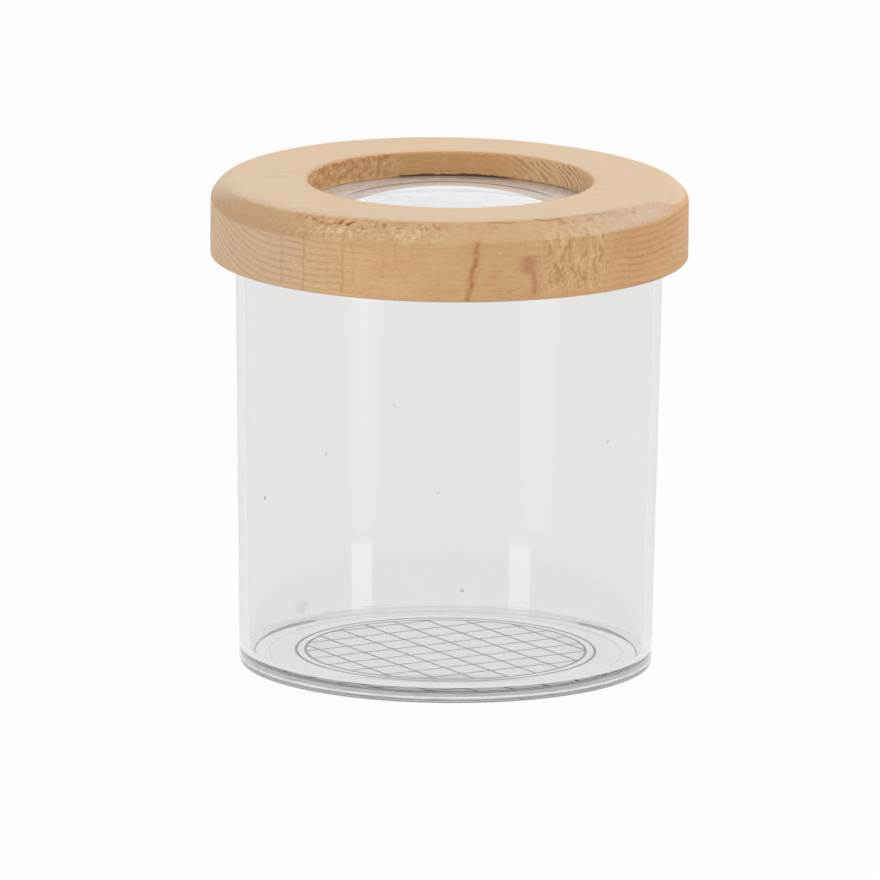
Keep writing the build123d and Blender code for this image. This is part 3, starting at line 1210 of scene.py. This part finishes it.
def hole_wall(finish):
    """Slanting growth lines on the right of the hole's far wall, and painted shade in the gap under its
    middle.
    """
    across, away, height = finish.axes(finish.place())
    along = across.math("ARCTAN2", away) * HOLE_RADIUS
    wander = finish.noise(finish.place((0.15, 0.15, 0.3)), detail=3.0)
    turn = ((along + height * SLANT_LEAN + wander * 6.0) / SLANT_PITCH).math("FRACT")
    slants = turn.step(0.3, 0.85) * turn.step(1.0, 0.9) * finish.mask("hole")
    slants = slants * along.step(7.0, 13.0) * along.step(38.0, 30.0)
    slants = slants * finish.noise(finish.place((0.3, 0.3, 0.6)), detail=1.0).step(0.35, 0.65, 0.3, 1.0)
    uneven = finish.noise(finish.place((0.5, 0.5, 0.5))).step(0.3, 0.7, -0.1, 0.12)
    # painted shade along the wall's lower edge, in the gap over the flange
    low = (height - uneven).step(web_bottom + 0.22, web_bottom + 0.14)
    low = low * height.math("GREATER_THAN", web_bottom - HOLE_LIP)
    at_wall = finish.radius().step(HOLE_RADIUS + 0.4, HOLE_RADIUS + 0.3)
    gap = low * at_wall * along.bell(GAP_SHADE_MIDDLE, GAP_SHADE_REACH).step(0.0, 0.3)
    return slants, gap


print("cracks lie", CRACK_DEPTH, "mm under the top, slanting lines", SLANT_PITCH, "mm apart")

# %% [markdown]
# ### The whole finish
# Flecks, growth lines, torn wood and marks are laid over the sound wood in the same way. The finest grain
# is only bump, because a mesh that held it would be far too large.

# %% Softwood
GRAIN_RELIEF = 0.05  # height of the finest grain, in mm


def softwood():
    finish = Finish(bpy.data.materials.new("pale_softwood"))
    fibre = finish.noise(finish.place((0.10, 2.6, 2.6)), detail=4.0, roughness=0.6)
    scraps = finish.noise(finish.place((1.0, 1.0, 1.3)), 1.5, detail=3.0, roughness=0.6)
    flecks = finish.noise(finish.place((0.5, 5.0, 5.0)), detail=2.0, roughness=0.6)
    rough_cut = 1.0 - finish.mask("planed") * 0.7
    lines = growth_lines(finish)
    torn_mask = finish.mask("torn")
    slants, gap = hole_wall(finish)
    layers = [
        (flecks.step(0.56, 0.70) * rough_cut * 0.30, (166, 110, 66)),
        (flecks.step(0.42, 0.30) * rough_cut * 0.25, (236, 206, 160)),
        (lines, (146, 94, 54)),
        (torn_mask * scraps.step(0.46, 0.34) * 0.4 + finish.mask("fibres") * 0.5, (235, 206, 156)),
        (torn_mask * scraps.step(0.56, 0.66) * 0.4 + finish.mask("pits"), (172, 106, 62)),
        # painted shade in the deepest pits
        (finish.mask("pits").step(0.6, 1.0) * 0.5, (118, 70, 42)),
        (slants * 0.55, (140, 88, 52)),
        # painted shade in the gap under the hole's wall
        (gap * 0.9, (70, 40, 26)),
        (finish.mask("resin") * scraps.step(0.32, 0.62, 0.35, 0.85), (172, 108, 66)),
        (finish.mask("knot") * 0.65, (178, 114, 74)),
        (finish.mask("marks") * 0.42, (150, 98, 60)),
        (edge_cracks(finish) * 0.7, (128, 76, 42)),
    ]
    relief = fibre * 0.4 + lines * 0.4 + torn_mask * scraps * 2.0
    return finish.principled(
        Base_Color=layered(finish, wood_tone(finish, fibre), layers),
        Roughness=fibre.step(0.2, 0.8, 0.52, 0.68),
        Specular_IOR_Level=0.35,
        Normal=finish.bump(relief, GRAIN_RELIEF * MM),
    )


add_piece(ring, softwood(), "ring", "lid_ring")
